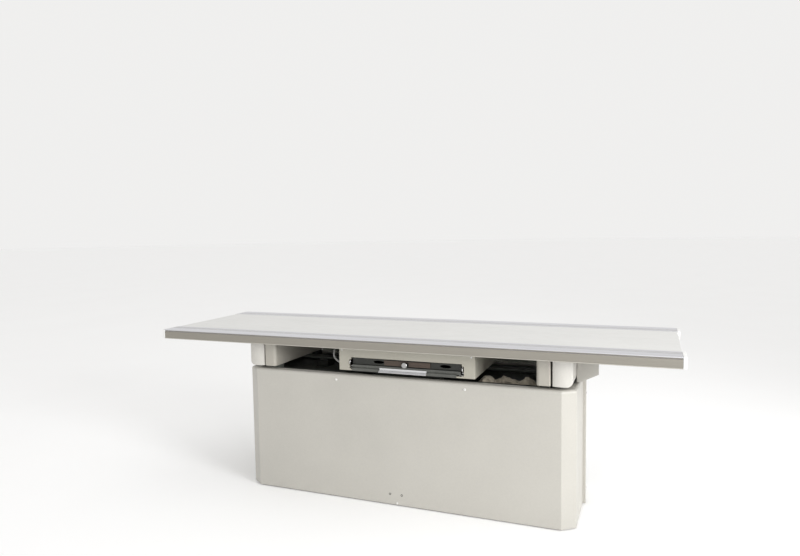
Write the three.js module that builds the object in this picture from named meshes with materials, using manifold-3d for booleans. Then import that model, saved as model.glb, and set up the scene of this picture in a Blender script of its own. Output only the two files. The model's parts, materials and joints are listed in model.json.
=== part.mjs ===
// Radiography table with a four-way floating tabletop.
// Millimetres, +Z up. Origin on the floor under the centre of the tabletop, -Y is the operator's side.
import * as THREE from 'three';
import { mergeVertices } from 'three/addons/utils/BufferGeometryUtils.js';
import Module from 'manifold-3d';

const wasm = await Module();
wasm.setup();

// ---- driving dimensions -------------------------------------------------
const TOP_L = 2200;        // length of tabletop panel and side profiles
const TOP_W = 656;         // tabletop width over the side profiles
const TOP_H = 695;         // height of the tabletop surface
const PROFILE_W = 100;     // width of one side profile on the top face
const PROFILE_H = 37;      // height of the side profile
const LIP_H = 43;          // height of the profile face with its hanging lip
const CAP_T = 12;          // end cap thickness
const BASE_X = 31;         // base centre, with the tabletop pushed slightly to the left
const BASE_H = 534;        // height of the base covers
const BASE_FRONT_Y = -283; // front face of the base
const BASE_HALF_FRONT = 663;
const BASE_HALF = 714;
const BASE_CHAMFER_Y = 37;
const SEAM_Y = -12;        // rear end of the front cover
const REAR_Y = 205;        // rear face of the base
const REAR_HALF = 702;
const SHEET = 3;           // cover sheet thickness
const DECK_Z = 500;        // top of the deck plate
const BEAM_Z0 = 547;       // underside of the cross beams
const BEAM_Z1 = 650;       // top of the cross beams
const INNER_X0 = 568;      // fixed cross beam, inner and outer side, from the base centre
const INNER_X1 = 621;
const OUTER_X0 = 628;      // moving cross beam
const OUTER_X1 = 702;
const BEAM_FRONT_Y = -278;
const ROLLER_R = 13.4;
const ROLLER_X = 645;      // rollers, from the base centre
const BUCKY_X = 67;        // centre of the film holder
const BUCKY_HALF = 295;
const BUCKY_FRONT_Y = -268;
const BUCKY_REAR_Y = 240;
const BUCKY_Z0 = 551;
const BUCKY_Z1 = 648;
const SLOT_HALF = 249.5;   // half width of the tray opening
const SLOT_Z0 = 557;
const SLOT_Z1 = 607;
const GAP = 0.3;           // assembly clearance between pieces

// ---- materials ----------------------------------------------------------
const mat = (hex, roughness, metalness) => new THREE.MeshStandardMaterial({ color: hex, roughness, metalness });
const PAINT = () => mat(0xd5d1c6, 0.45, 0.0);
const PLASTIC = () => mat(0xe4e3df, 0.5, 0.0);
const ALU = () => mat(0xc9cacc, 0.35, 0.85);
const STEEL = () => mat(0x8d9092, 0.4, 0.9);
const DARK = () => mat(0x33352f, 0.55, 0.3);
const RUBBER = () => mat(0x1d1d1d, 0.8, 0.0);
const LAMINATE = () => mat(0xe3e3de, 0.4, 0.0);
const BROWN = () => mat(0x5a4634, 0.5, 0.0);

// ---- geometry helpers ---------------------------------------------------
const root = new THREE.Group();
const V = (x, y, z) => new THREE.Vector3(x, y, z);
function put(name, geometry, material) {
  const mesh = new THREE.Mesh(geometry, material);
  mesh.name = name;
  root.add(mesh);
  return mesh;
}
function box(x0, x1, y0, y1, z0, z1) {
  const g = new THREE.BoxGeometry(x1 - x0, y1 - y0, z1 - z0);
  g.translate((x0 + x1) / 2, (y0 + y1) / 2, (z0 + z1) / 2);
  return g;
}
function shapeOf(points) {
  return new THREE.Shape(points.map(([a, b]) => new THREE.Vector2(a, b)));
}
function extrude(shape, depth, curveSegments = 10) {
  return new THREE.ExtrudeGeometry(shape, { depth, bevelEnabled: false, steps: 1, curveSegments });
}
// outline in (x, y), height along z
function extrudeZ(outline, z0, z1) {
  const g = extrude(outline instanceof THREE.Shape ? outline : shapeOf(outline), z1 - z0);
  g.translate(0, 0, z0);
  return g;
}
// outline in (y, z), length along x
function extrudeX(outline, x0, x1) {
  const g = extrude(outline instanceof THREE.Shape ? outline : shapeOf(outline), x1 - x0);
  g.applyMatrix4(new THREE.Matrix4().makeBasis(V(0, 1, 0), V(0, 0, 1), V(1, 0, 0)));
  g.translate(x0, 0, 0);
  return g;
}
// outline in (x, z), length along y
function extrudeY(outline, y0, y1) {
  const g = extrude(outline instanceof THREE.Shape ? outline : shapeOf(outline), y1 - y0);
  g.applyMatrix4(new THREE.Matrix4().makeBasis(V(1, 0, 0), V(0, 0, 1), V(0, -1, 0)));
  g.translate(0, y1, 0);
  return g;
}
function latheAlongY(profile, segments, cx, cz) {
  const g = new THREE.LatheGeometry(profile.map(([r, y]) => new THREE.Vector2(r, y)), segments);
  g.translate(cx, 0, cz);
  return g;
}
function latheAlongZ(profile, segments, cx, cy) {
  const g = new THREE.LatheGeometry(profile.map(([r, z]) => new THREE.Vector2(r, z)), segments);
  g.rotateX(Math.PI / 2);
  g.translate(cx, cy, 0);
  return g;
}
function solid(geometry) {
  const g = geometry.clone();
  g.deleteAttribute('normal');
  g.deleteAttribute('uv');
  const m = mergeVertices(g, 1e-4);
  return new wasm.Manifold(new wasm.Mesh({
    numProp: 3,
    vertProperties: new Float32Array(m.attributes.position.array),
    triVerts: new Uint32Array(m.index.array),
  }));
}
function geometryOf(manifold) {
  const m = manifold.getMesh();
  const g = new THREE.BufferGeometry();
  g.setAttribute('position', new THREE.BufferAttribute(new Float32Array(m.vertProperties), 3));
  g.setIndex(new THREE.BufferAttribute(new Uint32Array(m.triVerts), 1));
  return g;
}
const join = (a, ...rest) => geometryOf(rest.reduce((s, g) => s.add(solid(g)), solid(a)));
const cut = (a, ...rest) => geometryOf(rest.reduce((s, g) => s.subtract(solid(g)), solid(a)));
const mirrorY = (points) => points.map(([y, z]) => [-y, z]).reverse();

// ---- tabletop -----------------------------------------------------------
const yOut = -TOP_W / 2;
const zT = TOP_H;
const zP = TOP_H - PROFILE_H;
const zL = TOP_H - LIP_H;
// side profile section: grooved top flange, shadow groove under its edge, face with a hanging lip,
// roller channel inside and a ledge that carries the panel
const profileSection = [
  [1.6, zL], [6.5, zL], [7, zL + 0.8], [7, zP], [71, zP], [71, zP + 4], [12, zP + 4], [12, zT - 5.5], [94, zT - 5.5], [94, zT - 21], [114, zT - 21],
  [114, zT - 18], [PROFILE_W, zT - 18], [PROFILE_W, zT],
  [78, zT], [77.4, zT - 1.8], [74.6, zT - 1.8], [74, zT],
  [58, zT], [57.4, zT - 1.8], [54.6, zT - 1.8], [54, zT],
  [2, zT], [0.6, zT - 0.6], [0, zT - 2], [0, zT - 4.6],
  [5, zT - 5], [5, zT - 9], [1.2, zT - 9.6], [1.2, zL + 4.6], [0, zL + 3.6], [0, zL + 1.6],
].map(([u, z]) => [yOut + u, z]);
put('side_profile_front', extrudeX(profileSection, -TOP_L / 2, TOP_L / 2), ALU());
put('side_profile_rear', extrudeX(mirrorY(profileSection), -TOP_L / 2, TOP_L / 2), ALU());
const panelHalfW = TOP_W / 2 - PROFILE_W - GAP;
put('tabletop_panel', box(-TOP_L / 2, TOP_L / 2, -panelHalfW, panelHalfW, zT - 18 + GAP, zT - 0.8), LAMINATE());
// end caps close the open ends of the side profiles
const capOutline = (s) => {
  const a = s * (TOP_W / 2);
  const b = s * (TOP_W / 2 - PROFILE_W);
  return s < 0
    ? [[a + 3, zL], [a + 14, zL], [a + 22, zP - 1], [a + 74, zP - 1], [a + 78, zP + 3], [b, zT - 20], [b, zT], [a + 4, zT], [a + 1, zT - 1.5], [a, zT - 5], [a, zL + 3]]
    : [[a, zL + 3], [a, zT - 5], [a - 1, zT - 1.5], [a - 4, zT], [b, zT], [b, zT - 20], [a - 78, zP + 3], [a - 74, zP - 1], [a - 22, zP - 1], [a - 14, zL], [a - 3, zL]];
};
for (const [tag, sx, sy] of [['front_left', -1, -1], ['front_right', 1, -1], ['rear_left', -1, 1], ['rear_right', 1, 1]]) {
  const x0 = sx < 0 ? -TOP_L / 2 - CAP_T : TOP_L / 2 + GAP;
  put(`end_cap_${tag}`, extrudeX(capOutline(sy), x0, x0 + CAP_T - GAP), PLASTIC());
}

// ---- moving carriage ----------------------------------------------------
const side = (s) => (s < 0 ? 'left' : 'right');
const BEAM_REAR_Y = 262;
for (const s of [-1, 1]) {
  const x = (v) => BASE_X + s * v;
  // moving cross beam: gently crowned nose, rounded lower outer edge, recess for the guide on its inner side
  const o = new THREE.Shape();
  const pts = [];
  const R = 9, r2 = 10, crown = 6;
  for (let i = 0; i <= 10; i++) {
    const t = i / 10;
    pts.push([OUTER_X0 + 2 + t * (OUTER_X1 - R - OUTER_X0 - 2), BEAM_FRONT_Y - 1 + crown * (2 * t - 1) ** 2]);
  }
  const noseY = BEAM_FRONT_Y - 1 + crown;
  for (let i = 1; i <= 5; i++) {
    const a = (-90 + 18 * i) * Math.PI / 180;
    pts.push([OUTER_X1 - R + R * Math.cos(a), noseY + R + R * Math.sin(a)]);
  }
  for (let i = 0; i <= 4; i++) {
    const a = (22.5 * i) * Math.PI / 180;
    pts.push([OUTER_X1 - r2 + r2 * Math.cos(a), BEAM_REAR_Y - r2 + r2 * Math.sin(a)]);
  }
  pts.push([OUTER_X0, BEAM_REAR_Y], [OUTER_X0, noseY + 2]);
  const outline = pts.map(([px, py]) => [x(px), py]);
  if (s < 0) outline.reverse();
  o.setFromPoints(outline.map(([a, b]) => new THREE.Vector2(a, b)));
  const section = [[OUTER_X0 - 5, BEAM_Z0]];
  const rEdge = 22;
  for (let i = 0; i <= 6; i++) {
    const a = (-90 + 15 * i) * Math.PI / 180;
    section.push([OUTER_X1 - rEdge + rEdge * Math.cos(a), BEAM_Z0 + rEdge + rEdge * Math.sin(a)]);
  }
  section.push([OUTER_X1, BEAM_Z1], [OUTER_X0 - 5, BEAM_Z1]);
  const sectionAt = section.map(([a, z]) => [x(a), z]);
  if (s < 0) sectionAt.reverse();
  const lo = Math.min(x(OUTER_X0 - 1), x(652));
  const hi = Math.max(x(OUTER_X0 - 1), x(652));
  put(`carriage_beam_${side(s)}`, geometryOf(solid(extrudeZ(o, BEAM_Z0 - 5, BEAM_Z1 + 5)).intersect(solid(extrudeY(sectionAt, -300, 300)))
    .subtract(solid(box(lo, hi, -258, 255, 572, 628)))), PAINT());
  // guide block on the beam, wrapped round the cross rail
  const bx = [[631, 586], [651.7, 586], [651.7, 614], [631, 614], [631, 607.8], [641.3, 607.8], [641.3, 592.2], [631, 592.2]].map(([a, z]) => [x(a), z]);
  if (s < 0) bx.reverse();
  put(`guide_block_${side(s)}`, extrudeY(bx, -62, 62), STEEL());
  // fixed cross rail
  const r0 = Math.min(x(621 + GAP), x(641));
  const r1 = Math.max(x(621 + GAP), x(641));
  put(`cross_rail_${side(s)}`, box(r0, r1, -160, 160, 592.5, 607.5), STEEL());
  // side fairing behind the nose: underside slanting in towards the base, outer side drawn in towards the rear
  const f = [[702 + GAP, 540], [715, 540], [785, 574], [785, 644], [779, 650], [702 + GAP, 650]].map(([a, z]) => [x(a), z]);
  if (s < 0) f.reverse();
  const drawIn = [[785, -151], [805, -151], [805, 161], [756, 161], [758, 150], [783, -140]].map(([a, y]) => [x(a), y]);
  if (s < 0) drawIn.reverse();
  put(`side_fairing_${side(s)}`, cut(extrudeY(f, -150, 160), extrudeZ(drawIn, 500, 700)), PAINT());
  // fixed cross beam on two short legs
  const q = [];
  q.push([INNER_X1, BEAM_FRONT_Y + 3], [INNER_X1, 212], [INNER_X0, 212]);
  const Ri = 14;
  for (let i = 0; i <= 5; i++) {
    const a = (180 + 18 * i) * Math.PI / 180;
    q.push([INNER_X0 + Ri + Ri * Math.cos(a), BEAM_FRONT_Y + Ri + Ri * Math.sin(a)]);
  }
  q.push([INNER_X1 - 3, BEAM_FRONT_Y]);
  const inner = q.map(([a, b]) => [x(a), b]);
  if (s < 0) inner.reverse();
  const l0 = Math.min(x(576), x(612));
  const l1 = Math.max(x(576), x(612));
  put(`cross_beam_${side(s)}`, join(extrudeZ(inner, BEAM_Z0, BEAM_Z1 - 2),
    box(l0, l1, -240, -196, DECK_Z + GAP, BEAM_Z0 + 5), box(l0, l1, 122, 160, DECK_Z + GAP, BEAM_Z0 + 5)), PAINT());
}
// flat tie between the two moving beams, below the film holder
const tieX0 = BASE_X - 690;
const tieX1 = BASE_X + 690;
put('carriage_tie', box(tieX0, tieX1, -25, 25, 538, BEAM_Z0 - GAP), STEEL());
put('cross_lock_magnet', join(box(BASE_X - 500, BASE_X - 440, -30, 30, DECK_Z + 1.5, 530),
  box(BASE_X - 490, BASE_X - 450, -20, 20, 529, 538 - GAP)), DARK());

// ---- rollers and their brackets -----------------------------------------
const rollerZ = (zP + 4 + zT - 5.5) / 2;
for (const [tag, sx, sy] of [['front_left', -1, -1], ['front_right', 1, -1], ['rear_left', -1, 1], ['rear_right', 1, 1]]) {
  const cx = BASE_X + sx * ROLLER_X;
  // side plate with a stub axle, standing on the moving beam
  const plateY = sy < 0 ? [yOut + 76, yOut + 86] : [-yOut - 86, -yOut - 76];
  const footY = sy < 0 ? [yOut + 76, yOut + 84] : [-yOut - 84, -yOut - 76];
  const axle = sy < 0
    ? latheAlongY([[0, yOut + 16], [3.4, yOut + 16], [4, yOut + 16.6], [4, yOut + 77], [0, yOut + 77]], 32, cx, rollerZ)
    : latheAlongY([[0, -yOut - 77], [4, -yOut - 77], [4, -yOut - 16.6], [3.4, -yOut - 16], [0, -yOut - 16]], 32, cx, rollerZ);
  const plate = extrudeY([[cx - 17, BEAM_Z1 + GAP], [cx + 17, BEAM_Z1 + GAP], [cx + 17, BEAM_Z1 + 18], [cx + 10, zT - 8], [cx - 10, zT - 8], [cx - 17, BEAM_Z1 + 18]], plateY[0], plateY[1]);
  put(`roller_bracket_${tag}`, join(plate, axle, box(cx - 17, cx + 17, footY[0] - (sy < 0 ? 30 : 0), footY[1] + (sy < 0 ? 0 : 30), BEAM_Z1 + GAP, BEAM_Z1 + 5)), STEEL());
  const ya = sy < 0 ? yOut + 20 : -yOut - 64;
  const yb = ya + 44;
  put(`roller_${tag}`, latheAlongY([[4.1, ya], [7, ya], [7.6, ya + 1], [ROLLER_R - 1, ya + 1], [ROLLER_R, ya + 2], [ROLLER_R, yb - 2],
    [ROLLER_R - 1, yb - 1], [7.6, yb - 1], [7, yb], [4.1, yb], [4.1, ya]], 32, cx, rollerZ), mat(0x2c2e30, 0.5, 0.2));
}

// ---- base ---------------------------------------------------------------
const bx = (v) => BASE_X + v;
const yF = BASE_FRONT_Y;
const frontOuter = [[-BASE_HALF, SEAM_Y], [-BASE_HALF, yF + BASE_CHAMFER_Y], [-BASE_HALF_FRONT, yF], [BASE_HALF_FRONT, yF], [BASE_HALF, yF + BASE_CHAMFER_Y], [BASE_HALF, SEAM_Y]];
const frontInner = [[BASE_HALF - SHEET, SEAM_Y], [BASE_HALF - SHEET, yF + BASE_CHAMFER_Y + 1.6], [BASE_HALF_FRONT - 1, yF + SHEET],
  [-BASE_HALF_FRONT + 1, yF + SHEET], [-BASE_HALF + SHEET, yF + BASE_CHAMFER_Y + 1.6], [-BASE_HALF + SHEET, SEAM_Y]];
const atBase = (points) => points.map(([a, b]) => [bx(a), b]);
const holeAt = (hx, hz, r) => latheAlongY([[0, yF - 2], [r, yF - 2], [r, yF + SHEET + 2], [0, yF + SHEET + 2]], 20, bx(hx), hz);
put('front_cover', geometryOf(
  solid(extrudeZ(atBase([...frontOuter, ...frontInner]), 3, BASE_H - SHEET + 1))
    .add(solid(extrudeZ(atBase([[-BASE_HALF, yF + 41], [-BASE_HALF, yF + BASE_CHAMFER_Y], [-BASE_HALF_FRONT, yF], [BASE_HALF_FRONT, yF],
      [BASE_HALF, yF + BASE_CHAMFER_Y], [BASE_HALF, yF + 41]]), BASE_H - SHEET, BASE_H)))
    .subtract(solid(holeAt(-30.6, 47, 4))).subtract(solid(holeAt(21.5, 47, 4)))), PAINT());
put('rear_cover', join(extrudeZ(atBase([[-REAR_HALF, 0.3], [-REAR_HALF + SHEET, 0.3], [-REAR_HALF + SHEET, REAR_Y - SHEET], [REAR_HALF - SHEET, REAR_Y - SHEET],
  [REAR_HALF - SHEET, 0.3], [REAR_HALF, 0.3], [REAR_HALF, REAR_Y], [-REAR_HALF, REAR_Y]]), 3, BASE_H - SHEET + 1),
  extrudeZ(atBase([[-REAR_HALF, REAR_Y - 40], [REAR_HALF, REAR_Y - 40], [REAR_HALF, REAR_Y], [-REAR_HALF, REAR_Y]]), BASE_H - SHEET, BASE_H)), PAINT());
for (const s of [-1, 1]) {
  // vertical strip that closes the joint between front and rear covers
  const x0 = bx(s < 0 ? -726 : 690);
  put(`seam_strip_${side(s)}`, box(x0, x0 + 36, SEAM_Y + GAP, 0, 3, BASE_H - 1), PAINT());
  // welded portal: two posts and a head tube
  const p0 = bx(s * 560) - 30;
  put(`portal_frame_${side(s)}`, extrudeX([[-250, 60 + GAP], [-190, 60 + GAP], [-190, 430], [120, 430], [120, 60 + GAP], [180, 60 + GAP], [180, DECK_Z - 4 - GAP], [-250, DECK_Z - 4 - GAP]], p0, p0 + 60), STEEL());
}
const ring = shapeOf(atBase([[-690, -240], [690, -240], [690, 195], [-690, 195]]));
ring.holes.push(new THREE.Path(atBase([[-630, -190], [-630, 145], [630, 145], [630, -190]]).map(([a, b]) => new THREE.Vector2(a, b))));
put('floor_frame', extrudeZ(ring, 20, 60), STEEL());
for (const [tag, fx, fy] of [['front_left', -640, -215], ['front_right', 640, -215], ['rear_left', -640, 170], ['rear_right', 640, 170]]) {
  put(`levelling_foot_${tag}`, latheAlongZ([[0, 19.7], [9, 19.7], [9, 9], [19, 7], [20, 5], [20, 0], [0, 0]].reverse(), 20, bx(fx), fy), RUBBER());
}
const deckHoleL = box(bx(-330), bx(-290), 40, 80, DECK_Z - 10, DECK_Z + 5);
put('deck_plate', cut(box(bx(-698), bx(698), SEAM_Y - 240, REAR_Y - SHEET - 1, DECK_Z - 4, DECK_Z), deckHoleL,
  box(bx(-700), bx(-686), -14, 2, DECK_Z - 10, DECK_Z + 5), box(bx(686), bx(700), -14, 2, DECK_Z - 10, DECK_Z + 5)), STEEL());
// guide rails of the film holder, on the deck
for (const [tag, y0] of [['front', -205], ['rear', 175 - 40]]) {
  const T = [[y0 - 12, DECK_Z + GAP], [y0 + 12, DECK_Z + GAP], [y0 + 12, DECK_Z + 6], [y0 + 5, DECK_Z + 6], [y0 + 5, DECK_Z + 14], [y0 + 10, DECK_Z + 16], [y0 + 10, DECK_Z + 26], [y0 - 10, DECK_Z + 26], [y0 - 10, DECK_Z + 16], [y0 - 5, DECK_Z + 14], [y0 - 5, DECK_Z + 6], [y0 - 12, DECK_Z + 6]];
  put(`bucky_rail_${tag}`, extrudeX(T, bx(-560), bx(560)), STEEL());
  const U = [[y0 - 18, DECK_Z + 10], [y0 - 11, DECK_Z + 10], [y0 - 11, DECK_Z + 26.5], [y0 + 11, DECK_Z + 26.5], [y0 + 11, DECK_Z + 10], [y0 + 18, DECK_Z + 10], [y0 + 18, BUCKY_Z0 - GAP], [y0 - 18, BUCKY_Z0 - GAP]];
  put(`bucky_runner_${tag}`, extrudeX(U, BUCKY_X - 150, BUCKY_X + 150), DARK());
}
// rolled rear member between the two fixed cross beams, ribbed along its length
const rmOut = [];
const rmIn = [];
for (let i = 0; i < 6; i++) {
  const z = 510 + 22 * i;
  rmOut.push([253, z], [253, z + 11]);
  rmIn.push([247, z], [247, z + 2], [249.5, z + 3.5], [249.5, z + 7.5], [247, z + 9], [247, z + 11]);
  if (i < 5) {
    rmOut.push([250, z + 13], [250, z + 20]);
    rmIn.push([244, z + 13], [244, z + 20]);
  }
}
const rm = [...rmOut, [253, 642], [247, 642], ...rmIn.reverse()];
put('rear_member', join(extrudeX(rm, bx(-INNER_X1), bx(INNER_X1)), box(bx(-INNER_X1), bx(-INNER_X0), 212 + GAP, 248, 560, 640),
  box(bx(INNER_X0), bx(INNER_X1), 212 + GAP, 248, 560, 640)), DARK());

// closed skin through a row of rings of equal size
function loft(rings) {
  const n = rings[0].length;
  const pos = [];
  const idx = [];
  for (const ring of rings) for (const p of ring) pos.push(p.x, p.y, p.z);
  for (let k = 0; k + 1 < rings.length; k++) {
    for (let i = 0; i < n; i++) {
      const a = k * n + i, b = k * n + (i + 1) % n, c = a + n, d = b + n;
      idx.push(a, b, d, a, d, c);
    }
  }
  for (const [k, flip] of [[0, true], [rings.length - 1, false]]) {
    const m = rings[k].reduce((q, p) => q.add(p), V(0, 0, 0)).divideScalar(n);
    const c = pos.length / 3;
    pos.push(m.x, m.y, m.z);
    for (let i = 0; i < n; i++) {
      const a = k * n + i, b = k * n + (i + 1) % n;
      if (flip) idx.push(c, b, a); else idx.push(c, a, b);
    }
  }
  const g = new THREE.BufferGeometry();
  g.setAttribute('position', new THREE.BufferAttribute(new Float32Array(pos), 3));
  g.setIndex(idx);
  return g;
}
// wrapped cable loom that lies crumpled on the deck
const loomRings = [];
for (let k = 0; k <= 22; k++) {
  const t = k / 22;
  const end = Math.min(1, 0.45 + 6 * Math.min(t, 1 - t));
  const ry = (25 + 4 * Math.sin(9 * t + 1)) * end;
  const rz = (18 + 3.5 * Math.sin(17 * t) + 2 * Math.sin(31 * t + 2)) * end;
  const cy = -151 + 4 * Math.sin(7 * t);
  const loomRing = [];
  for (let i = 0; i < 18; i++) {
    const a = (2 * Math.PI * i) / 18;
    const w = 1 + 0.07 * Math.sin(3 * a + 14 * t) + 0.05 * Math.sin(5 * a - 23 * t);
    loomRing.push(V(bx(315 + 245 * t), cy + ry * w * Math.cos(a), DECK_Z + GAP + rz + rz * Math.min(w, 1) * Math.sin(a) * (Math.sin(a) < 0 ? 0.98 : 1.14)));
  }
  loomRings.push(loomRing);
}
put('cable_loom', loft(loomRings), mat(0x8d8471, 0.9, 0.0));

// ---- film holder and cassette tray --------------------------------------
const kx = (v) => BUCKY_X + v;
put('bucky_housing', cut(box(kx(-BUCKY_HALF), kx(BUCKY_HALF), BUCKY_FRONT_Y + 12, BUCKY_REAR_Y, BUCKY_Z0, BUCKY_Z1),
  box(kx(-BUCKY_HALF + 4), kx(BUCKY_HALF - 4), BUCKY_FRONT_Y, BUCKY_REAR_Y - 4, BUCKY_Z0 + 3, BUCKY_Z1 + 5)), PAINT());
put('bucky_front_frame', cut(box(kx(-BUCKY_HALF), kx(BUCKY_HALF), BUCKY_FRONT_Y, BUCKY_FRONT_Y + 12 - GAP, BUCKY_Z0, BUCKY_Z1 + 3),
  box(kx(-SLOT_HALF + 8), kx(SLOT_HALF - 8), BUCKY_FRONT_Y - 5, BUCKY_FRONT_Y + 20, SLOT_Z0, SLOT_Z1),
  box(kx(-SLOT_HALF), kx(SLOT_HALF), BUCKY_FRONT_Y - 5, BUCKY_FRONT_Y + 20, SLOT_Z0 + 3, SLOT_Z1 - 9)), PAINT());
put('bucky_top_panel', box(kx(-BUCKY_HALF), kx(BUCKY_HALF), BUCKY_FRONT_Y + 12, BUCKY_REAR_Y, BUCKY_Z1 + GAP, BUCKY_Z1 + 3), LAMINATE());
put('scatter_grid', box(kx(-250), kx(250), -238, 222, 628, 634), ALU());
for (const s of [-1, 1]) {
  // channel that guides one edge of the tray, and the hanger of the grid above it
  const c = [[226, BUCKY_Z0 + 3 + GAP], [291 - GAP, BUCKY_Z0 + 3 + GAP], [291 - GAP, 646], [284, 646], [284, 627.7], [236, 627.7], [236, 624], [284, 624], [284, 570], [238, 570], [238, 567], [248, 567], [248, 561], [226, 561]].map(([a, z]) => [kx(s * a), z]);
  if (s < 0) c.reverse();
  put(`tray_guide_${side(s)}`, extrudeY(c, BUCKY_FRONT_Y + 14, BUCKY_REAR_Y - 8), STEEL());
}
put('tray_pan', cut(box(kx(-246), kx(246), -250, 205, 561 + GAP, 566.4), box(kx(-16), kx(16), -225, -45, 550, 580), box(kx(-16), kx(16), -5, 185, 550, 580)), DARK());
const oval = (cx, w, h, zc) => {
  const s = new THREE.Shape();
  s.absellipse(kx(cx), zc, w / 2, h / 2, 0, Math.PI * 2, false, 0);
  return new THREE.ExtrudeGeometry(s, { depth: 30, bevelEnabled: false, curveSegments: 20 })
    .applyMatrix4(new THREE.Matrix4().makeBasis(V(1, 0, 0), V(0, 0, 1), V(0, -1, 0))).translate(0, -240, 0);
};
// tray front with a lip each side of the pull that hangs over the lower edge of the slot
const lip = [[-270.5, 551.2], [-268.4, 551.2], [-268.4, 558], [-258, 558], [-258, 566], [-264, 566], [-270.5, 562.5]];
const trayPlate = cut(extrudeX([[-263, 562], [-250 - GAP, 562], [-250 - GAP, 604], [-256, 604], [-256, 578], [-263, 576]], kx(-236), kx(236)), oval(-118, 48, 13, 591), oval(172, 48, 13, 591));
put('tray_front', join(trayPlate, extrudeX(lip, kx(-236), kx(-113)), extrudeX(lip, kx(95), kx(219))), DARK());
put('tray_handle', extrudeX([[-277, 552], [-271.5, 557.8], [-263 - GAP, 557.8], [-263 - GAP, 569], [-265.3, 569], [-265.3, 560.4], [-272.6, 560.4], [-279, 553.8]], kx(-112), kx(94)), ALU());
put('tray_latch_plate', join(box(kx(-92), kx(-16), -260.5, -256 - GAP, 580, 601), box(kx(16), kx(108), -260.5, -256 - GAP, 580, 601), box(kx(-17), kx(17), -260.5, -256 - GAP, 596, 601)), BROWN());
put('tray_knob', latheAlongY([[0, -256.3], [7, -256.3], [7, -262], [11, -263], [12, -265], [12, -271], [10, -273], [0, -273]].reverse(), 28, kx(0), 587), ALU());
// lead that leaves the left wall of the film holder low down and enters it again higher up
const leadPath = new THREE.CatmullRomCurve3([V(kx(-BUCKY_HALF) - GAP, -195, 567), V(kx(-BUCKY_HALF) - 9, -195, 567), V(-262, -199, 568), V(-286, -197, 586), V(-293, -186, 612),
  V(-288, -152, 632), V(-262, -112, 636), V(kx(-BUCKY_HALF) - 9, -96, 632), V(kx(-BUCKY_HALF) - GAP, -96, 632)], false, 'centripetal');
const leadRings = [];
let across = V(0, 0, 1);
for (let k = 0; k <= 40; k++) {
  const u = k / 40;
  const p = leadPath.getPointAt(u);
  const d = k === 0 ? V(-1, 0, 0) : k === 40 ? V(1, 0, 0) : leadPath.getTangentAt(u);
  across = across.clone().addScaledVector(d, -across.dot(d)).normalize();
  const other = V(0, 0, 0).crossVectors(d, across);
  const leadRing = [];
  for (let i = 0; i < 12; i++) {
    const a = (2 * Math.PI * i) / 12;
    leadRing.push(p.clone().addScaledVector(across, 4 * Math.cos(a)).addScaledVector(other, 4 * Math.sin(a)));
  }
  leadRings.push(leadRing);
}
put('bucky_lead', loft(leadRings), mat(0xa9aaa6, 0.6, 0.0));
// centring jaws that grip the cassette, each with a tongue in the slot of the pan
for (const [tag, yc] of [['front', -175], ['rear', 125]]) {
  put(`cassette_jaw_${tag}`, join(box(kx(-110), kx(110), yc - 9, yc + 9, 566.4 + GAP, 584), box(kx(-14), kx(14), yc - 9, yc + 9, 562, 568)), BROWN());
}

export default root;
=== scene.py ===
import json
import math
import bmesh
import bpy
from mathutils import Matrix, Vector, noise


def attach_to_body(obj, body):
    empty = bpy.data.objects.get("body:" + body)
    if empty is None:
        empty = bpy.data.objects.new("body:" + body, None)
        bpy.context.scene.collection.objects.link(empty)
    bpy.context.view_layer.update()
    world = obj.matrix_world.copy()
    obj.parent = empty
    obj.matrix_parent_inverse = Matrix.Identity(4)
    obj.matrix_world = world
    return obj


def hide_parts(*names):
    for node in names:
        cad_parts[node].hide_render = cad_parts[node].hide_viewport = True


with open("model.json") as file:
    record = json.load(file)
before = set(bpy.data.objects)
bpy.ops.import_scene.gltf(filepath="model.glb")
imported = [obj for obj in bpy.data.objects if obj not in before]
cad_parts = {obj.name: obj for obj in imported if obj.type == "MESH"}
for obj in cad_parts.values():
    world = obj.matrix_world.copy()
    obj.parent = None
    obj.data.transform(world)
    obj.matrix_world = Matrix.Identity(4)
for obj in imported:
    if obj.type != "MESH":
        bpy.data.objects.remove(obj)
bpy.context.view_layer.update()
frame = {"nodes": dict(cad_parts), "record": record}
NODES = frame["nodes"]
BODY_OF = {n: b for b, ns in frame["record"]["behaviour"]["bodies"].items() for n in ns}
scene = bpy.context.scene
MM = 0.001

# ------------------------------------------------------------------ camera
F_PX, YAW, PITCH, ROLL = 635.757, 0.3769, 0.0760, -0.0162
CAM = Vector((0.99442, -2.64274, 1.13815))
fwd = Vector((-math.sin(YAW) * math.cos(PITCH), math.cos(YAW) * math.cos(PITCH), -math.sin(PITCH)))
right0 = Vector((math.cos(YAW), math.sin(YAW), 0.0))
up0 = right0.cross(fwd)
right = right0 * math.cos(ROLL) + up0 * math.sin(ROLL)
up = -right0 * math.sin(ROLL) + up0 * math.cos(ROLL)
cam_data = bpy.data.cameras.new("camera")
cam_data.sensor_fit = "HORIZONTAL"
cam_data.sensor_width = 36.0
cam_data.lens = F_PX / 800.0 * 36.0
cam_data.clip_start = 0.05
cam_data.clip_end = 100.0
cam = bpy.data.objects.new("camera", cam_data)
scene.collection.objects.link(cam)
rot = Matrix((right, up, -fwd)).transposed()
cam.matrix_world = Matrix.Translation(CAM) @ rot.to_4x4()
scene.camera = cam


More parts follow.
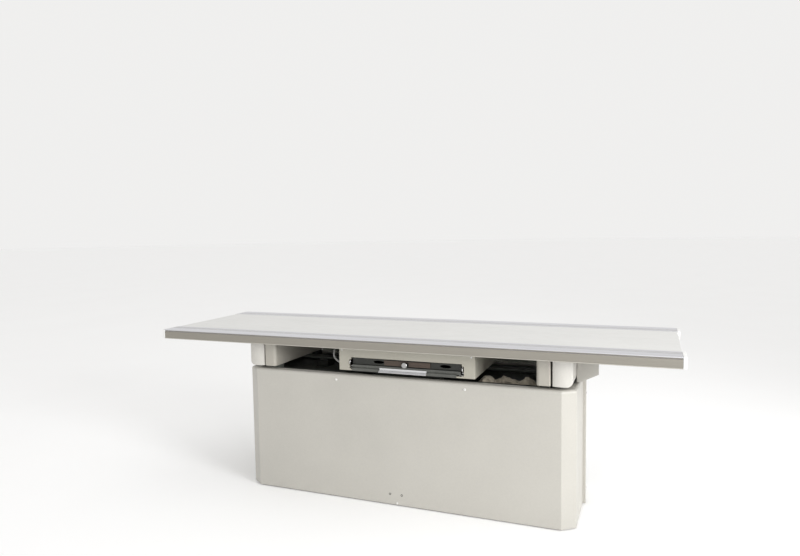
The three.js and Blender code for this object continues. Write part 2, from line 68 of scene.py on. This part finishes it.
# --------------------------------------------------------------- materials
class Nodes:
    """Small helper around one node tree."""

    def __init__(self, name):
        self.mat = bpy.data.materials.new(name)
        self.mat.use_nodes = True
        self.t = self.mat.node_tree
        self.t.nodes.clear()
        self.out = self.t.nodes.new("ShaderNodeOutputMaterial")
        self.b = self.t.nodes.new("ShaderNodeBsdfPrincipled")
        self.t.links.new(self.b.outputs["BSDF"], self.out.inputs["Surface"])
        self.coord = self.t.nodes.new("ShaderNodeTexCoord")

    def new(self, kind, **props):
        n = self.t.nodes.new(kind)
        for k, v in props.items():
            setattr(n, k, v)
        return n

    def link(self, a, b):
        self.t.links.new(a, b)

    def mapping(self, scale):
        m = self.new("ShaderNodeMapping")
        m.inputs["Scale"].default_value = scale
        self.link(self.coord.outputs["Object"], m.inputs["Vector"])
        return m.outputs["Vector"]

    def noise(self, scale, detail=3.0, rough=0.5, stretch=(1, 1, 1)):
        n = self.new("ShaderNodeTexNoise")
        n.inputs["Scale"].default_value = scale
        n.inputs["Detail"].default_value = detail
        n.inputs["Roughness"].default_value = rough
        self.link(self.mapping(stretch), n.inputs["Vector"])
        return n.outputs["Fac"]

    def ramp(self, fac, stops):
        r = self.new("ShaderNodeValToRGB")
        e = r.color_ramp.elements
        e[0].position, e[0].color = stops[0][0], (*stops[0][1], 1.0)
        e[1].position, e[1].color = stops[-1][0], (*stops[-1][1], 1.0)
        for p, c in stops[1:-1]:
            x = e.new(p)
            x.color = (*c, 1.0)
        self.link(fac, r.inputs["Fac"])
        return r.outputs["Color"]

    def range(self, fac, lo, hi, a=0.3, b=0.7):
        m = self.new("ShaderNodeMapRange")
        m.inputs["From Min"].default_value = a
        m.inputs["From Max"].default_value = b
        m.inputs["To Min"].default_value = lo
        m.inputs["To Max"].default_value = hi
        self.link(fac, m.inputs["Value"])
        return m.outputs["Result"]

    def mix(self, fac, a, b, mode="MIX"):
        m = self.new("ShaderNodeMix", data_type="RGBA", blend_type=mode)
        if isinstance(fac, float):
            m.inputs["Factor"].default_value = fac
        else:
            self.link(fac, m.inputs["Factor"])
        self.link(a, m.inputs[6])
        self.link(b, m.inputs[7])
        return m.outputs[2]

    def bump(self, heights):
        """heights: list of (socket, distance in metres)"""
        last = None
        for h, d in heights:
            n = self.new("ShaderNodeBump")
            n.inputs["Strength"].default_value = 1.0
            n.inputs["Distance"].default_value = d
            self.link(h, n.inputs["Height"])
            if last is not None:
                self.link(last, n.inputs["Normal"])
            last = n.outputs["Normal"]
        self.link(last, self.b.inputs["Normal"])


def shade(c, k):
    return tuple(max(0.0, min(1.0, v * k)) for v in c)


def paint(name, c, rough=0.42, var=0.05, peel=0.00005, coat=0.12):
    """Powder-coated sheet: orange peel, soft tone drift, faint handling marks."""
    n = Nodes(name)
    cloud = n.noise(2.3, 4.0, 0.55)
    fine = n.noise(140.0, 2.0, 0.5)
    base = n.ramp(cloud, [(0.3, shade(c, 1.0 - var)), (0.5, c), (0.72, shade(c, 1.0 + var * 0.7))])
    grain = n.ramp(fine, [(0.35, (0.975, 0.975, 0.975)), (0.65, (1.0, 1.0, 1.0))])
    n.link(n.mix(1.0, base, grain, "MULTIPLY"), n.b.inputs["Base Color"])
    marks = n.noise(19.0, 5.0, 0.65, (1, 1, 0.35))
    n.link(n.range(marks, rough - 0.06, rough + 0.09), n.b.inputs["Roughness"])
    n.b.inputs["Coat Weight"].default_value = coat
    n.b.inputs["Coat Roughness"].default_value = 0.25
    peel_h = n.noise(520.0, 2.0, 0.5)
    n.bump([(peel_h, peel)])
    return n.mat


def plastic(name, c, rough=0.45, bump=0.00004):
    n = Nodes(name)
    base = n.ramp(n.noise(9.0, 3.0), [(0.3, shade(c, 0.965)), (0.7, shade(c, 1.02))])
    n.link(base, n.b.inputs["Base Color"])
    n.link(n.range(n.noise(60.0, 4.0), rough - 0.05, rough + 0.08), n.b.inputs["Roughness"])
    n.bump([(n.noise(1500.0, 2.0), bump)])
    return n.mat


def aluminium(name, c, rough=0.34, along=(3.0, 700.0, 700.0), metal=0.9):
    """Satin anodised extrusion with drawing lines along its length."""
    n = Nodes(name)
    lines = n.noise(1.0, 4.0, 0.6, along)
    cloud = n.noise(4.0, 3.0)
    base = n.mix(1.0, n.ramp(lines, [(0.25, shade(c, 0.93)), (0.75, shade(c, 1.04))]),
                 n.ramp(cloud, [(0.3, (0.96, 0.96, 0.965)), (0.7, (1.0, 1.0, 1.0))]), "MULTIPLY")
    n.link(base, n.b.inputs["Base Color"])
    n.b.inputs["Metallic"].default_value = metal
    n.b.inputs["Anisotropic"].default_value = 0.35
    n.link(n.range(lines, rough - 0.07, rough + 0.1), n.b.inputs["Roughness"])
    n.bump([(lines, 0.00002)])
    return n.mat


def steel(name, c, rough=0.3, along=(260.0, 6.0, 260.0), metal=1.0):
    n = Nodes(name)
    lines = n.noise(1.0, 4.0, 0.6, along)
    spots = n.noise(36.0, 5.0, 0.7)
    base = n.mix(1.0, n.ramp(lines, [(0.25, shade(c, 0.86)), (0.75, shade(c, 1.08))]),
                 n.ramp(spots, [(0.34, (0.86, 0.84, 0.82)), (0.52, (1.0, 1.0, 1.0))]), "MULTIPLY")
    n.link(base, n.b.inputs["Base Color"])
    n.b.inputs["Metallic"].default_value = metal
    n.link(n.range(spots, rough + 0.12, rough - 0.05), n.b.inputs["Roughness"])
    n.bump([(lines, 0.000025)])
    return n.mat


def black_paint(name, c, rough=0.42, wear=0.12):
    n = Nodes(name)
    cloud = n.noise(7.0, 4.0)
    base = n.ramp(cloud, [(0.3, shade(c, 0.8)), (0.7, shade(c, 1.25))])
    scuff = n.noise(55.0, 6.0, 0.72, (1.0, 2.6, 1.0))
    worn = n.ramp(scuff, [(0.60, (0.0, 0.0, 0.0)), (0.74, (wear, wear, wear * 0.95))])
    n.link(n.mix(1.0, base, worn, "ADD"), n.b.inputs["Base Color"])
    n.link(n.range(scuff, rough + 0.1, rough - 0.1), n.b.inputs["Roughness"])
    n.bump([(n.noise(700.0, 2.0), 0.00004)])
    return n.mat


def board(name, c):
    """Paper-phenolic board: brown, with long fibres and a satin face."""
    n = Nodes(name)
    fibre = n.noise(1.0, 5.0, 0.7, (16.0, 420.0, 420.0))
    mottle = n.noise(46.0, 4.0)
    base = n.mix(1.0, n.ramp(fibre, [(0.3, shade(c, 0.7)), (0.7, shade(c, 1.3))]),
                 n.ramp(mottle, [(0.3, (0.82, 0.8, 0.78)), (0.7, (1.0, 1.0, 1.0))]), "MULTIPLY")
    n.link(base, n.b.inputs["Base Color"])
    n.link(n.range(mottle, 0.34, 0.5), n.b.inputs["Roughness"])
    n.bump([(fibre, 0.00003)])
    return n.mat


def laminate(name, c):
    """Decor laminate: pale ground, faint drifting clouds and fine flecks."""
    n = Nodes(name)
    warp = n.noise(2.2, 5.0, 0.6, (1.0, 2.2, 1.0))
    veil = n.noise(11.0, 6.0, 0.68, (0.6, 1.4, 1.0))
    fleck = n.noise(420.0, 2.0, 0.6)
    base = n.mix(1.0, n.ramp(warp, [(0.34, shade(c, 0.972)), (0.66, shade(c, 1.015))]),
                 n.ramp(veil, [(0.36, (0.965, 0.967, 0.962)), (0.5, (0.992, 0.992, 0.99)), (0.66, (1.0, 1.0, 1.0))]), "MULTIPLY")
    base = n.mix(1.0, base, n.ramp(fleck, [(0.28, (0.93, 0.93, 0.93)), (0.42, (1.0, 1.0, 1.0))]), "MULTIPLY")
    n.link(base, n.b.inputs["Base Color"])
    n.link(n.range(n.noise(26.0, 5.0, 0.6), 0.36, 0.48), n.b.inputs["Roughness"])
    n.b.inputs["Specular IOR Level"].default_value = 0.42
    n.bump([(n.noise(900.0, 2.0), 0.00002)])
    return n.mat


def rubber(name, c):
    n = Nodes(name)
    n.link(n.ramp(n.noise(30.0, 4.0), [(0.3, shade(c, 0.8)), (0.7, shade(c, 1.5))]), n.b.inputs["Base Color"])
    n.link(n.range(n.noise(90.0, 3.0), 0.6, 0.82), n.b.inputs["Roughness"])
    n.bump([(n.noise(800.0, 3.0), 0.00008)])
    return n.mat


def cloth(name, c):
    """Plain-weave wrap: two crossed thread waves over soft folds."""
    n = Nodes(name)
    wa = n.new("ShaderNodeTexWave", wave_type="BANDS", bands_direction="X")
    wb = n.new("ShaderNodeTexWave", wave_type="BANDS", bands_direction="Y")
    for w in (wa, wb):
        w.inputs["Scale"].default_value = 210.0
        w.inputs["Distortion"].default_value = 1.2
        w.inputs["Detail"].default_value = 1.0
        n.link(n.coord.outputs["Object"], w.inputs["Vector"])
    weave = n.new("ShaderNodeMath", operation="MULTIPLY")
    n.link(wa.outputs["Fac"], weave.inputs[0])
    n.link(wb.outputs["Fac"], weave.inputs[1])
    base = n.mix(1.0, n.ramp(n.noise(24.0, 5.0), [(0.3, shade(c, 0.72)), (0.7, shade(c, 1.15))]),
                 n.ramp(weave.outputs[0], [(0.0, (0.78, 0.78, 0.78)), (0.6, (1.0, 1.0, 1.0))]), "MULTIPLY")
    n.link(base, n.b.inputs["Base Color"])
    n.b.inputs["Roughness"].default_value = 0.88
    n.b.inputs["Sheen Weight"].default_value = 0.25
    n.bump([(weave.outputs[0], 0.0003)])
    return n.mat


BEIGE = (0.472, 0.456, 0.415)
M = {
    "cover": paint("cover_paint", BEIGE, 0.44),
    "cover_beam": paint("beam_paint", (0.575, 0.557, 0.516), 0.36, 0.04, 0.00004, 0.2),
    "inner_beam": paint("inner_beam_paint", (0.392, 0.371, 0.324), 0.38, 0.04, 0.00004, 0.15),
    "bucky": paint("bucky_paint", (0.395, 0.377, 0.318), 0.42),
    "cap": plastic("cap_plastic", (0.80, 0.80, 0.785), 0.42),
    "laminate": laminate("table_laminate", (0.70, 0.697, 0.68)),
    "alu_x": aluminium("profile_aluminium", (0.69, 0.69, 0.715), 0.36),
    # darker, warmer copy of the profile metal for the rail's outer vertical face and its groove bottoms: painted shade
    # and painted reflection of the surroundings
    "alu_painted_shade": aluminium("profile_face_painted_shade", (0.315, 0.295, 0.256), 0.42, (3.0, 700.0, 700.0), 0.55),
    # lighter copy of the face metal for the rail's bottom lip: painted highlight where the lip catches light
    "alu_lip_painted_highlight": aluminium("profile_lip_painted_highlight", (0.50, 0.48, 0.43), 0.40, (3.0, 700.0, 700.0), 0.55),
    "alu_face": aluminium("trim_aluminium", (0.74, 0.74, 0.745), 0.28),
    "steel": steel("ground_steel", (0.56, 0.56, 0.57), 0.3),
    "steel_x": steel("drawn_steel", (0.50, 0.50, 0.51), 0.32, (6.0, 260.0, 260.0)),
    "rail": steel("rail_steel", (0.06, 0.065, 0.056), 0.5, (6.0, 260.0, 260.0), 0.35),
    # dark primer of the frames, also put on the cross-beam legs as painted shade
    "frame": black_paint("frame_primer_and_painted_leg_shade", (0.075, 0.08, 0.07), 0.55, 0.05),
    "member": black_paint("member_paint", (0.095, 0.106, 0.09), 0.45, 0.05),
    "black": black_paint("tray_black", (0.017, 0.018, 0.014), 0.42, 0.04),
    "tray_lip": black_paint("tray_lip_grey", (0.085, 0.087, 0.078), 0.42, 0.05),
    "board": board("brown_board", (0.066, 0.045, 0.032)),
    "rubber": rubber("black_rubber", (0.018, 0.018, 0.018)),
    "roller": plastic("roller_plastic", (0.045, 0.047, 0.05), 0.4),
    "loom": cloth("loom_wrap", (0.52, 0.46, 0.36)),
    "lead": plastic("lead_sheath", (0.40, 0.40, 0.385), 0.4),
    "chrome": steel("bright_chrome", (0.80, 0.80, 0.80), 0.12, (120.0, 120.0, 120.0)),
    "knob": steel("knob_steel", (0.46, 0.46, 0.45), 0.24, (120.0, 120.0, 120.0)),
    "white_screw": plastic("white_plug", (0.74, 0.735, 0.71), 0.38),
}


# ------------------------------------------------------------ mesh helpers
def new_object(name, bm_or_mesh, material, smooth=True):
    if isinstance(bm_or_mesh, bmesh.types.BMesh):
        me = bpy.data.meshes.new(name)
        bmesh.ops.recalc_face_normals(bm_or_mesh, faces=bm_or_mesh.faces)
        bm_or_mesh.to_mesh(me)
        bm_or_mesh.free()
    else:
        me = bm_or_mesh
    me.materials.clear()
    me.materials.append(material)
    for p in me.polygons:
        p.use_smooth = smooth
    o = bpy.data.objects.new(name, me)
    scene.collection.objects.link(o)
    return o


def soften(o, width, segments=3, angle=28.0):
    b = o.modifiers.new("edge", "BEVEL")
    b.width = width
    b.segments = segments
    b.limit_method = "ANGLE"
    b.angle_limit = math.radians(angle)
    b.use_clamp_overlap = True
    b.harden_normals = True
    w = o.modifiers.new("normals", "WEIGHTED_NORMAL")
    w.keep_sharp = True
    w.weight = 60
    return o


def refine(node, material, width, segments=3, angle=28.0):
    """Finished skin of a CAD piece: coplanar facets merged and every edge broken."""
    bm = bmesh.new()
    bm.from_mesh(NODES[node].data)
    bmesh.ops.remove_doubles(bm, verts=bm.verts, dist=2e-6)
    bmesh.ops.dissolve_limit(bm, angle_limit=math.radians(0.4), verts=bm.verts, edges=bm.edges)
    o = new_object("skin_" + node, bm, material)
    soften(o, width * MM, segments, angle)
    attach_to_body(o, BODY_OF[node])
    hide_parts(node)
    return o


def attach(o, body):
    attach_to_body(o, body)
    return o


def ring_points(n, f):
    return [f(2 * math.pi * i / n) for i in range(n)]


def lathe(name, profile, centre, axis, material, n=40):
    """Solid of revolution: profile of (radius, height) pairs in mm along axis from centre."""
    axis = Vector(axis).normalized()
    side = axis.orthogonal().normalized()
    other = axis.cross(side)
    c = Vector(centre) * MM
    bm = bmesh.new()
    rings = []
    for r, h in profile:
        if r < 1e-6:
            rings.append([bm.verts.new(c + axis * h * MM)])
        else:
            rings.append([bm.verts.new(c + axis * h * MM + (side * math.cos(a) + other * math.sin(a)) * r * MM)
                          for a in [2 * math.pi * i / n for i in range(n)]])
    for a, b in zip(rings, rings[1:]):
        if len(a) == 1 and len(b) == 1:
            continue
        for i in range(n):
            j = (i + 1) % n
            if len(a) == 1:
                bm.faces.new((a[0], b[i], b[j]))
            elif len(b) == 1:
                bm.faces.new((a[i], b[0], a[j]))
            else:
                bm.faces.new((a[i], b[i], b[j], a[j]))
    return new_object(name, bm, material)


def screw(name, centre, axis, r, material, socket=0.5, height=None):
    """Domed screw head with a hexagon socket."""
    axis = Vector(axis).normalized()
    side = axis.orthogonal().normalized()
    other = axis.cross(side)
    c = Vector(centre) * MM
    h = height or r * 0.55
    n = 24
    bm = bmesh.new()

    def ring(rad, z, hexa=False):
        out = []
        for i in range(n):
            a = 2 * math.pi * i / n
            k = rad
            if hexa:
                b = (a % (math.pi / 3)) - math.pi / 6
                k = rad * math.cos(math.pi / 6) / math.cos(b)
            out.append(bm.verts.new(c + axis * z * MM + (side * math.cos(a) + other * math.sin(a)) * k * MM))
        return out

    rings = [ring(r, -0.4), ring(r, h * 0.15), ring(r * 0.96, h * 0.45), ring(r * 0.82, h * 0.8), ring(r * 0.62, h),
             ring(r * socket, h, True), ring(r * socket * 0.94, h * 0.25, True)]
    for a, b in zip(rings, rings[1:]):
        for i in range(n):
            j = (i + 1) % n
            bm.faces.new((a[i], a[j], b[j], b[i]))
    bm.faces.new(rings[-1])
    bm.faces.new(list(reversed(rings[0])))
    return new_object(name, bm, material)


def tube(name, points, radius, material, n=14, per=8):
    """Round tube along a smooth curve through points (mm)."""
    p = [Vector(q) for q in points]
    pts = []
    for i in range(len(p) - 1):
        p0, p1, p2, p3 = p[max(i - 1, 0)], p[i], p[i + 1], p[min(i + 2, len(p) - 1)]
        for k in range(per):
            t = k / per
            pts.append(0.5 * ((2 * p1) + (p2 - p0) * t + (2 * p0 - 5 * p1 + 4 * p2 - p3) * t * t + (3 * p1 - p0 - 3 * p2 + p3) * t ** 3))
    pts.append(p[-1])
    bm = bmesh.new()
    rings = []
    prev = None
    for i, q in enumerate(pts):
        d = (pts[min(i + 1, len(pts) - 1)] - pts[max(i - 1, 0)]).normalized()
        s = d.orthogonal().normalized() if prev is None else (prev - d * prev.dot(d)).normalized()
        prev = s
        o = d.cross(s)
        rings.append([bm.verts.new((q + (s * math.cos(a) + o * math.sin(a)) * radius) * MM) for a in [2 * math.pi * k / n for k in range(n)]])
    for a, b in zip(rings, rings[1:]):
        for i in range(n):
            j = (i + 1) % n
            bm.faces.new((a[i], a[j], b[j], b[i]))
    bm.faces.new(list(reversed(rings[0])))
    bm.faces.new(rings[-1])
    return new_object(name, bm, material)


def offset_path(points, d, radius, arcs=6):
    """Open polyline offset to its left by d, corners rounded; the same number of points for every d."""
    n = len(points)
    dirs = [(points[i + 1] - points[i]).normalized() for i in range(n - 1)]
    left = [Vector((-v.y, v.x)) for v in dirs]
    corner = []
    for i in range(n):
        if i == 0:
            corner.append(points[0] + left[0] * d)
        elif i == n - 1:
            corner.append(points[-1] + left[-1] * d)
        else:
            m = (left[i - 1] + left[i]).normalized()
            corner.append(points[i] + m * (d / max(0.2, m.dot(left[i]))))
    out = [corner[0]]
    for i in range(1, n - 1):
        turn = dirs[i - 1].angle(dirs[i])
        r = max(0.8, radius - d)
        cut = r * math.tan(turn / 2)
        a = corner[i] - dirs[i - 1] * cut
        b = corner[i] + dirs[i] * cut
        for k in range(arcs + 1):
            t = k / arcs
            out.append((1 - t) ** 2 * a + 2 * t * (1 - t) * corner[i] + t * t * b)
    out.append(corner[-1])
    return out


def folded_cover(name, plan, section, radius, thickness, material):
    """Sheet-metal cover: a bent section swept along the plan outline."""
    plan = [Vector(p) for p in plan]
    bm = bmesh.new()
    rows = []
    for d, z in section:
        rows.append([bm.verts.new((q.x * MM, q.y * MM, z * MM)) for q in offset_path(plan, d, radius)])
    for a, b in zip(rows, rows[1:]):
        for i in range(len(a) - 1):
            bm.faces.new((a[i], a[i + 1], b[i + 1], b[i]))
    o = new_object(name, bm, material)
    s = o.modifiers.new("sheet", "SOLIDIFY")
    s.thickness = thickness * MM
    s.offset = -1.0
    w = o.modifiers.new("normals", "WEIGHTED_NORMAL")
    w.keep_sharp = True
    return o


def cover_section(top, flange, r=11.0, lip=9.0, bottom=3.0):
    s = [(18.0, bottom), (2.5, bottom), (0.8, bottom + 0.8), (0.0, bottom + 2.6)]
    for z in (60.0, 180.0, 320.0, 440.0, 500.0):
        s.append((0.0, z))
    for k in range(8):
        a = math.pi / 2 * k / 7
        s.append((r - r * math.cos(a), top - r + r * math.sin(a)))
    s += [(flange - 2.0, top), (flange - 0.5, top - 0.5), (flange, top - 2.0), (flange, top - lip)]
    return s


# -------------------------------------------------------------------- base
BX = 31.0
plan_front = [(BX + 714, -12), (BX + 714, -246), (BX + 663, -283), (BX - 663, -283), (BX - 714, -246), (BX - 714, -12)]
plan_front = list(reversed(plan_front))
front = folded_cover("front_cover_skin", plan_front, cover_section(534.0, 41.0), 7.0, 2.0, M["cover"])
attach(front, "base")
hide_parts("front_cover")
plan_rear = [(BX + 702, 0.3), (BX + 702, 205), (BX - 702, 205), (BX - 702, 0.3)]
rear = folded_cover("rear_cover_skin", plan_rear, cover_section(534.0, 40.0), 9.0, 2.0, M["cover"])
attach(rear, "base")
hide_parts("rear_cover")
for s in ("left", "right"):
    refine("seam_strip_" + s, M["cover"], 2.5, 4)
    refine("portal_frame_" + s, M["frame"], 4.0, 3)
    beam = refine("cross_beam_" + s, M["inner_beam"], 3.0, 4)
    # faces below z = 546 mm (the legs) take the dark frame colour: painted shade, so the legs read as the shadow under
    # the beam
    beam.data.materials.append(M["frame"])
    for p in beam.data.polygons:
        if p.center.z < 546.0 * MM:
            p.material_index = 1
    refine("cross_rail_" + s, M["steel"], 0.8, 2)
refine("floor_frame", M["frame"], 4.0, 3)
refine("deck_plate", M["frame"], 0.8, 2)
refine("bucky_rail_front", M["rail"], 0.6, 2)
refine("bucky_rail_rear", M["rail"], 0.6, 2)
refine("rear_member", M["member"], 0.5, 2)
CORNERS = ("front_left", "front_right", "rear_left", "rear_right")
for t in CORNERS:
    refine("levelling_foot_" + t, M["rubber"], 1.2, 3, 20)

# ---------------------------------------------------------------- carriage
for s in ("left", "right"):
    refine("carriage_beam_" + s, M["cover_beam"], 3.5, 4)
    refine("guide_block_" + s, M["steel"], 0.8, 2)
    refine("side_fairing_" + s, M["cover"], 3.5, 4)
refine("carriage_tie", M["rail"], 0.8, 2)
refine("cross_lock_magnet", M["black"], 1.5, 3)
for t in CORNERS:
    refine("roller_bracket_" + t, M["steel"], 0.6, 2)
    refine("roller_" + t, M["roller"], 0.3, 2, 20)

# ---------------------------------------------------------------- tabletop
refine("tabletop_panel", M["laminate"], 1.0, 3)
for s in ("front", "rear"):
    o = refine("side_profile_" + s, M["alu_x"], 0.35, 2, 24)
    # the outer vertical face below the top bead and the two groove bottoms get the darker copy (painted shade); the
    # bottom lip gets the lighter copy (painted highlight)
    o.data.materials.append(M["alu_painted_shade"])
    o.data.materials.append(M["alu_lip_painted_highlight"])
    for p in o.data.polygons:
        if abs(p.normal.z) < 0.8 and abs(p.center.y) > 0.32 and p.center.z < 0.6892:
            p.material_index = 1
        # bottom lip: painted highlight along the rail's lower edge
        if abs(p.center.y) > 0.325 and p.center.z < 0.6556:
            p.material_index = 2
        # groove bottoms: painted shade in grooves too narrow to shade themselves at this size
        if 0.6925 < p.center.z < 0.6946 and 0.245 < abs(p.center.y) < 0.28:
            p.material_index = 1
for t in CORNERS:
    refine("end_cap_" + t, M["cap"], 2.2, 4)

# -------------------------------------------------------------- film holder
refine("bucky_housing", M["bucky"], 1.2, 3)
refine("bucky_front_frame", M["bucky"], 1.6, 3)
refine("bucky_top_panel", M["laminate"], 0.8, 2)
refine("scatter_grid", M["alu_face"], 0.6, 2)
for s in ("left", "right"):
    refine("tray_guide_" + s, M["steel"], 0.5, 2)
refine("bucky_runner_front", M["black"], 1.0, 2)
refine("bucky_runner_rear", M["black"], 1.0, 2)
refine("tray_pan", M["black"], 0.8, 2)
tray_front = refine("tray_front", M["black"], 1.0, 3)
tray_front.data.materials.append(M["tray_lip"])
for p in tray_front.data.polygons:
    if p.center.z < 566.5 * MM and p.center.y < -259.0 * MM:
        p.material_index = 1
refine("tray_handle", M["alu_face"], 0.9, 3)
refine("tray_latch_plate", M["board"], 0.8, 3)
refine("tray_knob", M["knob"], 0.8, 3, 20)
refine("cassette_jaw_front", M["board"], 1.2, 3)
refine("cassette_jaw_rear", M["board"], 1.2, 3)

# wrapped loom on the deck: the CAD solid with finer folds pressed into it
bm = bmesh.new()
bm.from_mesh(NODES["cable_loom"].data)
bmesh.ops.remove_doubles(bm, verts=bm.verts, dist=2e-6)
bmesh.ops.subdivide_edges(bm, edges=bm.edges, cuts=2, use_grid_fill=True, smooth=0.0)
bmesh.ops.triangulate(bm, faces=bm.faces)
bm.normal_update()
for v in bm.verts:
    ridge = 1.0 - abs(noise.noise(Vector((v.co.x * 42.0, v.co.y * 60.0, v.co.z * 60.0))))
    fine = noise.noise(v.co * 190.0)
    k = -0.0052 * (1.0 - ridge ** 3) + 0.0007 * fine
    lift = min(1.0, max(0.0, (v.co.z - 0.5015) / 0.006))
    v.co += v.normal * k * lift
loom = new_object("loom_wrap_skin", bm, M["loom"])
attach(loom, "base")
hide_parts("cable_loom")

# lead on the film holder, with a gland at each end
refine("bucky_lead", M["lead"], 0.3, 2, 50)
for k, (y, z) in enumerate(((-195.0, 567.0), (-96.0, 632.0))):
    o = lathe("lead_gland_%d" % k, [(4.3, 0.1), (9.0, 0.1), (9.0, 3.0), (7.6, 4.0), (7.2, 8.0), (6.0, 10.0), (4.3, 10.4), (4.3, 0.1)], (67 - 295.0, y, z), (-1, 0, 0), M["rubber"])
    attach(o, "bucky")

# sprung stops at both ends of the tray slot
for sgn, tag in ((-1, "left"), (1, "right")):
    x = 67 + sgn * 245.5
    pts = [(x, -262.0, 597.0), (x - sgn * 2.0, -268.5, 592.0), (x - sgn * 1.0, -271.0, 585.0), (x, -268.5, 578.0), (x, -262.0, 574.0)]
    attach(tube("slot_spring_" + tag, pts, 1.6, M["chrome"], 12, 8), "bucky")

# ---------------------------------------------------------- small fittings
for i, (x, z) in enumerate(((-237.0, 511.0), (324.0, 511.0))):
    attach(screw("cover_screw_%d" % i, (x, -283.2, z), (0, -1, 0), 5.2, M["white_screw"]), "base")
for i, x in enumerate((BX - 30.6, BX + 21.5)):
    o = lathe("cover_grommet_%d" % i, [(0.0, -0.6), (2.6, -0.6), (3.0, 0.2), (3.8, 0.6), (4.6, 0.4), (4.9, -0.2), (4.9, -1.9), (0.0, -1.9)],
              (x, -283.1, 47.0), (0, -1, 0), M["rubber"])
    attach(o, "base")
attach(screw("cover_foot_screw", (BX + 1, -283.2, 11.0), (0, -1, 0), 4.6, M["white_screw"]), "base")
for i, (x, z) in enumerate(((BX - 640, 480), (BX + 640, 480), (BX - 640, 60), (BX + 640, 60), (BX, 480), (BX, 60))):
    attach(screw("rear_cover_screw_%d" % i, (x, 205.2, z), (0, 1, 0), 5.2, M["white_screw"]), "base")
for sgn, tag in ((-1, "left"), (1, "right")):
    for k, z in enumerate((70.0, 268.0, 465.0)):
        attach(screw("seam_screw_%s_%d" % (tag, k), (BX + sgn * 726.2, -5.8, z), (sgn, 0, 0), 3.6, M["chrome"]), "base")
    for k, (y, v) in enumerate(((-122.0, 780.75), (132.0, 759.55))):
        attach(screw("fairing_screw_%s_%d" % (tag, k), (BX + sgn * (v + 0.4), y, 630.0), (sgn, 0.086, 0), 4.2, M["white_screw"]), "carriage")
for sx in (-1, 1):
    for sy in (-1, 1):
        for k, y in enumerate((sy * 308.0, sy * 258.0)):
            attach(screw("cap_screw_%s%s_%d" % ("l" if sx < 0 else "r", "f" if sy < 0 else "b", k), (sx * 1112.0, y, 676.0), (sx, 0, 0), 3.6, M["chrome"]),
                   "tabletop")
for k, x in enumerate((67 - 281.0, 67 + 281.0)):
    attach(screw("bucky_frame_screw_%d" % k, (x, -268.1, 636.0), (0, -1, 0), 3.4, M["chrome"]), "bucky")

# ------------------------------------------------------------------- stage
bm = bmesh.new()
rows = []
for r in (0.0, 0.6, 1.2, 2.0, 3.0, 4.5, 7.0, 11.0, 18.0, 30.0, 60.0):
    if r == 0.0:
        rows.append([bm.verts.new((0.0, 0.0, -0.0004))])
    else:
        rows.append([bm.verts.new((r * math.cos(2 * math.pi * k / 48), r * math.sin(2 * math.pi * k / 48), -0.0004)) for k in range(48)])
for a, b in zip(rows, rows[1:]):
    for k in range(48):
        m = (k + 1) % 48
        bm.faces.new((a[0], b[k], b[m]) if len(a) == 1 else (a[k], b[k], b[m], a[m]))
floor = new_object("studio_floor", bm, M["cover"])
nf = Nodes("studio_floor")
nf.link(nf.ramp(nf.noise(1.3, 3.0), [(0.3, (0.975, 0.975, 0.975)), (0.7, (0.985, 0.985, 0.985))]), nf.b.inputs["Base Color"])
nf.b.inputs["Roughness"].default_value = 0.8
nf.b.inputs["Specular IOR Level"].default_value = 0.2
floor.data.materials[0] = nf.mat

world = bpy.data.worlds.new("studio")
scene.world = world
world.use_nodes = True
world.node_tree.nodes["Background"].inputs["Color"].default_value = (1.0, 0.995, 0.985, 1.0)
world.node_tree.nodes["Background"].inputs["Strength"].default_value = 0.87


def area(name, loc, target, size, power, colour=(1, 1, 1)):
    d = bpy.data.lights.new(name, "AREA")
    d.shape = "RECTANGLE"
    d.size, d.size_y = size
    d.energy = power
    d.color = colour
    o = bpy.data.objects.new(name, d)
    scene.collection.objects.link(o)
    o.location = loc
    o.rotation_euler = (Vector(target) - Vector(loc)).to_track_quat("-Z", "Y").to_euler()
    return o


key_data = bpy.data.lights.new("key", "SPOT")
key_data.energy = 640.0
key_data.color = (0.985, 0.992, 1.0)
key_data.spot_size = math.radians(82.0)
key_data.spot_blend = 1.0
key_data.shadow_soft_size = 0.9
key = bpy.data.objects.new("key", key_data)
scene.collection.objects.link(key)
key.location = (4.4, -2.1, 1.9)
key.rotation_euler = (Vector((0.2, 0.0, 0.45)) - Vector((4.4, -2.1, 1.9))).to_track_quat("-Z", "Y").to_euler()
area("fill", (2.6, -3.3, 0.72), (0.0, -0.25, 0.58), (1.0, 0.6), 11.0)
area("top", (-0.4, 0.2, 4.4), (-0.2, 0.0, 0.0), (5.0, 3.0), 10.0)
scene.view_settings.view_transform = "Standard"
